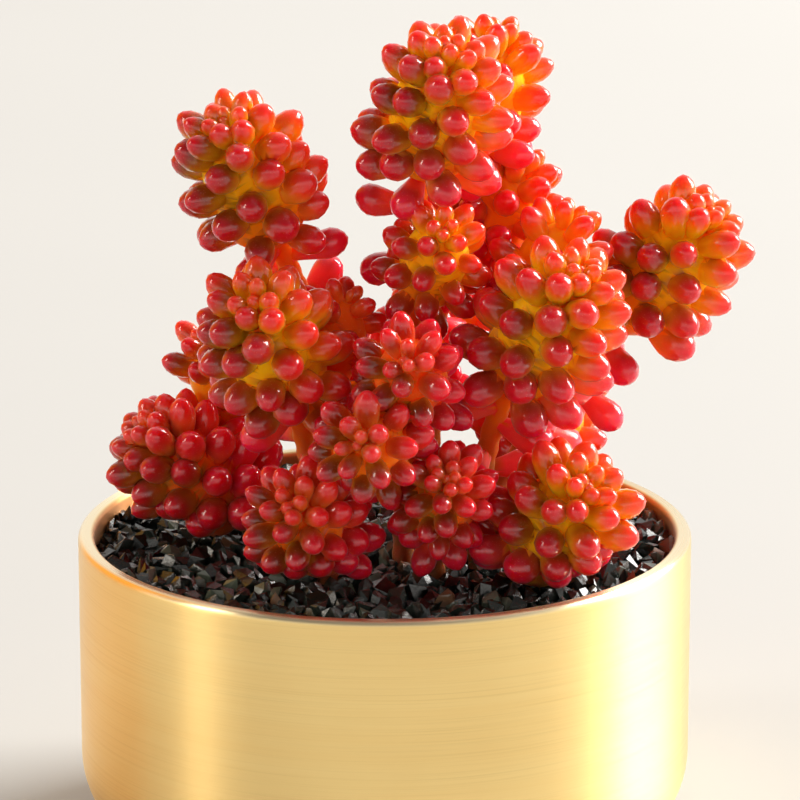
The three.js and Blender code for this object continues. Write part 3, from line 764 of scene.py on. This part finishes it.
def leafy_shoot_tree(beans):
    """Stem lines become round stems, and each loose point among them a leaf."""
    shoot = Growth("leafy_shoot", "Lines_and_points", Stem_sides="Int", Flesh="Material")

    def stored(name):
        return shoot.add("GeometryNodeInputNamedAttribute", {"data_type": CARRIED[name][0]}, {"Name": name},
                         "Attribute")

    points = shoot.add("GeometryNodeSeparateGeometry", {"domain": "POINT"},
                       {"Geometry": shoot.source, "Selection": stored("is_leaf")})
    lines = Sock(shoot, shoot.made.outputs["Inverted"])
    turn = shoot.add("FunctionNodeEulerToRotation", None, {"Euler": stored("leaf_turn")})
    leaves = shoot.add("GeometryNodeInstanceOnPoints", None,
                       {"Points": points, "Instance": shoot.shapes(beans), "Pick Instance": True,
                        "Instance Index": stored("leaf_shape"), "Rotation": turn,
                        "Scale": stored("leaf_size")})
    leaves = shoot.add("GeometryNodeRealizeInstances", None, {"Geometry": leaves})
    curve = shoot.add("GeometryNodeMeshToCurve", None, {"Mesh": lines})
    ring = shoot.add("GeometryNodeCurvePrimitiveCircle", None,
                     {"Resolution": shoot.given["Stem sides"], "Radius": 1.0})
    stems = shoot.add("GeometryNodeCurveToMesh", None,
                      {"Curve": curve, "Profile Curve": ring, "Scale": stored("girth"), "Fill Caps": True})
    stems = shoot.add("GeometryNodeMergeByDistance", None, {"Geometry": stems, "Distance": STEM_WELD})
    # Leaves and stems grow into one body, so that light passes from one to the other. Its points take their
    # colours from the parts they come from.
    parts = shoot.joined(leaves, stems)
    island = shoot.add("GeometryNodeInputMeshIsland", None, None, "Island Index")
    bodies = shoot.add("GeometryNodeSplitToInstances", {"domain": "FACE"},
                       {"Geometry": parts, "Group ID": island})
    whole = shoot.add("GeometryNodeMeshBoolean", {"operation": "UNION", "solver": "MANIFOLD"},
                      {"Mesh": bodies})
    whole = shoot.add("GeometryNodeMergeByDistance", None, {"Geometry": whole, "Distance": WELD})
    for name in ("base_colour", "tip_colour", "along", "rise"):
        kind = CARRIED[name][0]
        value = shoot.add("GeometryNodeSampleNearestSurface", {"data_type": kind},
                          {"Mesh": parts, "Value": stored(name)}, "Value")
        whole = shoot.add("GeometryNodeStoreNamedAttribute", {"data_type": kind, "domain": "POINT"},
                          {"Geometry": whole, "Name": name, "Value": value})
    whole = shoot.add("GeometryNodeSetShadeSmooth", None, {"Geometry": whole})
    crease = shoot.add("GeometryNodeInputMeshEdgeAngle", None, None, "Unsigned Angle").above(SHARP_ANGLE)
    whole = shoot.add("GeometryNodeSetShadeSmooth", {"domain": "EDGE"},
                      {"Geometry": whole, "Selection": crease, "Shade Smooth": False})
    return shoot.finish(whole, shoot.given["Flesh"])


def sunned_flesh():
    flesh = Finish("sunned_flesh", IOR=1.36, Specular_IOR_Level=0.05, Coat_Roughness=0.03, Coat_IOR=1.52,
                   Subsurface_Weight=1.0, Subsurface_Radius=(1.0, 0.36, 0.10), Subsurface_Scale=FLESH_DEPTH,
                   Subsurface_Anisotropy=0.3)
    place, *_ = flesh.place()
    along, rise = flesh.carried("along"), flesh.carried("rise")
    base, tip = flesh.carried("base_colour", "Color"), flesh.carried("tip_colour", "Color")
    cloud = flesh.noise(place, 260, 3, 0.55)
    fine = flesh.noise(place, 2600, 2, 0.6)
    dots = 1 - flesh.cells(place, 2100).ease(0.05, 0.30)
    rim = flesh.add("ShaderNodeLayerWeight", None, {"Blend": 0.35}, "Facing")
    colour = flesh.mix((along + (cloud - 0.5) * 0.16).ease(0.54, 0.98), base, tip)
    # Painted shade darkens the upper side of a leaf. A painted glow, as of light that has come through it,
    # warms its underside.
    shaded_top = flesh.stretched(colour, *UPPER_SHADE)
    colour = flesh.mix(rise.ease(-0.1, 0.9) * along.ease(0.45, 0.75) * 0.75, colour, shaded_top)
    colour = flesh.mix(rise.ease(0.0, -0.9) * along.ease(0.3, 0.6) * 0.45, colour, base)
    colour = flesh.mix(cloud.ease(0.45, 0.8) * 0.20, colour, CRIMSON)
    colour = flesh.mix(along.ease(0.76, 1.0) * 0.6, colour, LEAF_TIP)
    # A leaf is dotted with pale pores, and where it is seen at a low angle a pale painted sheen shows along
    # its outline.
    colour = flesh.mix(dots * 0.10, colour, LEAF_DOTS)
    colour = flesh.mix(rim.ease(0.62, 0.95) * along.ease(0.2, 0.5) * 0.25, colour, LEAF_RIM_SHEEN)
    flesh.feed(Base_Color=colour, Roughness=0.34 + (cloud - 0.5) * 0.16 + dots * 0.05,
               Coat_Weight=along.ease(0.35, 0.75))
    flesh.bump(fine * 0.35 + cloud * 0.5, SKIN_RELIEF, 0.5)
    return flesh.material


def stem_girth(head, below):
    """The radius of a stem, and of the core of leaf bases that it swells to inside a head."""
    share = 1 - below / (CORE_LENGTH * head["size"])
    bare = STEM_RADIUS * (1 if share < 0.8 else 1 - between(share, 0.8, 1.0))
    swell = between(share, 0.0, 0.34) * math.sqrt(max(0, 1 - between(share, 0.62, 1.04) ** 2))
    return max(bare if share < 1 else 0, CORE_RADIUS * head["size"] * swell, 0.05 * MM)


def stem_colour(head, share, height):
    """The colour of a stem at a share of the core's length below the tip, and at a height."""
    # Painted shade turns the top of the core towards olive, and glow, partly painted, towards yellow.
    top = blend(head["shade_depth"] * 0.2, blend(head["glow"], EMBER, YELLOW), OLIVE)
    colour = blend(between(share, 0.25, 0.8), top, blend(0.55, top, EMBER))
    colour = blend(between(1 - share, -0.5, 0.3), BARK, colour)
    return blend(between(height, BARK_YOUNG_AT, BARK_OLD_AT), colour, OLD_BARK)


class Drawing:
    """The stem lines of a shoot, and among them a loose point for each leaf."""

    def __init__(self):
        self.points, self.edges = [], []
        self.values = {key: [] for key in CARRIED}

    def put(self, place, **given):
        self.points.append(tuple(place))
        for key, (_, _, plain) in CARRIED.items():
            self.values[key].append(given.get(key, plain))
        return len(self.points) - 1

    def stem(self, head, last=None):
        """A stem and its core, from the point before it on, if there is one."""
        line, core = head["line"], CORE_LENGTH * head["size"]
        steps = max(FEWEST_STEPS, round(line.length / STEM_STEP))
        for step in range(steps + 1):
            share = step / steps
            below = line.length * (1 - share)
            on_line = line.at(share)
            ripple = 1 + STEM_RIPPLE * math.sin(below / RIPPLE_LENGTH) * (below > core)
            if below < core:
                # Inside a head the core is straight, and its first stretch eases over from the stem's curve.
                straight = head["tip"] - head["core_axis"] * below
                on_line = on_line.lerp(straight, between(1 - below / core, 0.0, 0.5))
            colour = (*stem_colour(head, below / core, on_line.z), 1)
            here = self.put(on_line, girth=stem_girth(head, below) * ripple,
                            base_colour=colour, tip_colour=colour)
            if last is not None:
                self.edges.append((last, here))
            last = here

    def leaf(self, leaf):
        towards = leaf["towards"]
        up = leaf["stem"] - towards * leaf["stem"].dot(towards)
        up = up.normalized() if up.length > 1e-4 else towards.orthogonal().normalized()
        turn = Matrix((up, towards.cross(up), towards)).transposed().to_euler()
        base, tip = ((*colour, 1) for colour in leaf["colours"])
        self.put(leaf["base"], is_leaf=True, leaf_shape=leaf["shape"], leaf_turn=tuple(turn),
                 leaf_size=(leaf["girth"], leaf["girth"], leaf["length"]), base_colour=base, tip_colour=tip)

    def piece(self, name):
        mesh = bpy.data.meshes.new(name)
        mesh.from_pydata(self.points, self.edges, [])
        for key, (kind, slot, _) in CARRIED.items():
            values = np.array(self.values[key]).ravel()
            mesh.attributes.new(key, kind, "POINT").data.foreach_set(slot, values)
        lines = bpy.data.objects.new(name, mesh)
        bpy.context.scene.collection.objects.link(lines)
        return lines


grown = [(name, foot, grow_heads(index, foot, lean, tips))
         for index, (name, foot, lean, tips) in enumerate(SHOOTS)]
taken = {(name, k): stem_space(head) for name, _, heads in grown for k, head in enumerate(heads)}
leaf_draw = np.random.default_rng(LEAF_SEED)
shoot_leaves = {}
for name, _, heads in grown:
    shoot_leaves[name] = []
    for k, head in enumerate(heads):
        others = np.concatenate([spaces - np.array([0] * 6 + [CLOSER * (key[0] == name)])
                                 for key, spaces in taken.items() if key != (name, k)])
        mine = [taken[name, k]]
        for leaf in head_leaves(head, leaf_draw):
            space = fit_in(leaf, head, others)
            if space is not None:
                shoot_leaves[name].append(leaf)
                mine.append(space[None])
        taken[name, k] = np.concatenate(mine)

flesh = sunned_flesh()
beans = [bean(f"bean_{k}", bend) for k, bend in enumerate(LEAF_BENDS)]
shoot_tree = leafy_shoot_tree(beans)
for name, foot, heads in grown:
    drawing = Drawing()
    foot_point = drawing.put((foot[0] * MM, foot[1] * MM, STEM_FOOT), girth=STEM_RADIUS)
    for k, head in enumerate(heads):
        drawing.stem(head, foot_point if k == 0 else None)
    for leaf in shoot_leaves[name]:
        drawing.leaf(leaf)
    shoot = made_plain(drawing.piece(name + "_lines"), "leafy_" + name, shoot_tree, Stem_sides=STEM_SIDES,
                       Flesh=flesh)
    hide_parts(name)
    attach(shoot, "root")


# ---- Studio ----
# A plain pale table top runs out of view, under soft light: a tall bright window behind and to the right, a
# weaker one on the left, and a pale room all round.

TABLE_REACH, TABLE_GAP = 6, 0.2 * MM   # half the width of the table, and how far below the pot it lies
TABLE_PALE, TABLE_PALER = (0.458, 0.461, 0.456), (0.475, 0.478, 0.473)
LIGHT_AIM = (0, 0, 60 * MM)
CEILING, FRONT_WALL = (0.14, 0.14, 0.14), (1.45, 1.39, 1.30)
BACK_WALL, WARM_WALL = (1.0, 0.985, 0.96), (1.15, 0.50, 0.03)


def pale_table():
    top = Finish("pale_table", Roughness=0.6)
    place, *_ = top.place()
    top.feed(Base_Color=top.mix(top.noise(place, 6, 2), TABLE_PALE, TABLE_PALER))
    return top.material


corners = [(x * TABLE_REACH, y * TABLE_REACH, -TABLE_GAP) for x, y in ((-1, -1), (1, -1), (1, 1), (-1, 1))]
table_mesh = bpy.data.meshes.new("table_top")
table_mesh.from_pydata(corners, [], [(0, 1, 2, 3)])
table = bpy.data.objects.new("table_top", table_mesh)
bpy.context.scene.collection.objects.link(table)
table.data.materials.append(pale_table())


def soft_window(name, place, width, height, power, colour):
    """A window that lights the plant, but isn't seen itself."""
    light = bpy.data.lights.new(name, "AREA")
    light.shape, light.size, light.size_y = "RECTANGLE", width, height
    light.energy, light.color = power, colour
    lamp = bpy.data.objects.new(name, light)
    lamp.location = place
    lamp.rotation_euler = (Vector(place) - Vector(LIGHT_AIM)).to_track_quat("Z", "Y").to_euler()
    lamp.visible_camera = False
    bpy.context.scene.collection.objects.link(lamp)


def pale_room():
    """The room is pale. In front its ceiling lies in shade, and a warm wall closes it at the left back."""
    world = bpy.data.worlds.new("pale_room")
    world.use_nodes = True
    room = Nodes(world.node_tree)
    facing = room.add("ShaderNodeTexCoord", None, None, "Generated")
    east = room.add("ShaderNodeSeparateXYZ", None, {"Vector": facing})
    north, up = Sock(room, room.made.outputs["Y"]), Sock(room, room.made.outputs["Z"])
    front = room.mix(up.ease(0.20, 0.60), FRONT_WALL, CEILING)
    whole = room.mix((north * 0.8 + east * 0.5).ease(-0.4, 0.8), front, BACK_WALL)
    whole = room.mix(north.ease(0.05, 0.30) * east.ease(-0.30, -0.60), whole, WARM_WALL)
    room.tree.links.new(whole.socket, room.tree.nodes["Background"].inputs["Color"])
    return world


soft_window("tall_window", (2.36, 1.10, 1.50), 1.80, 2.00, 215.0, (1.0, 0.975, 0.93))
soft_window("left_window", (-2.50, -0.72, 1.55), 0.55, 1.50, 24.0, (1.0, 0.90, 0.76))
bpy.context.scene.world = pale_room()
bpy.context.scene.view_settings.view_transform = "Standard"


# ---- Camera ----
# A long lens looks down at the plant a little from in front, at the height of its middle.

VIEW_DISTANCE, VIEW_HEIGHT = 0.8, math.radians(15.466)
VIEW_AIM = Vector((2.49, 0, 73.655)) * MM
LENS, SENSOR = 222.0, 36.0
NEAREST, FARTHEST = 0.01, 30

camera_data = bpy.data.cameras.new("camera")
camera_data.lens, camera_data.sensor_width = LENS, SENSOR
camera_data.clip_start, camera_data.clip_end = NEAREST, FARTHEST
camera = bpy.data.objects.new("camera", camera_data)
camera.location = VIEW_AIM + Vector((0, -math.cos(VIEW_HEIGHT), math.sin(VIEW_HEIGHT))) * VIEW_DISTANCE
camera.rotation_euler = (camera.location - VIEW_AIM).to_track_quat("Z", "Y").to_euler()
bpy.context.scene.collection.objects.link(camera)
bpy.context.scene.camera = camera
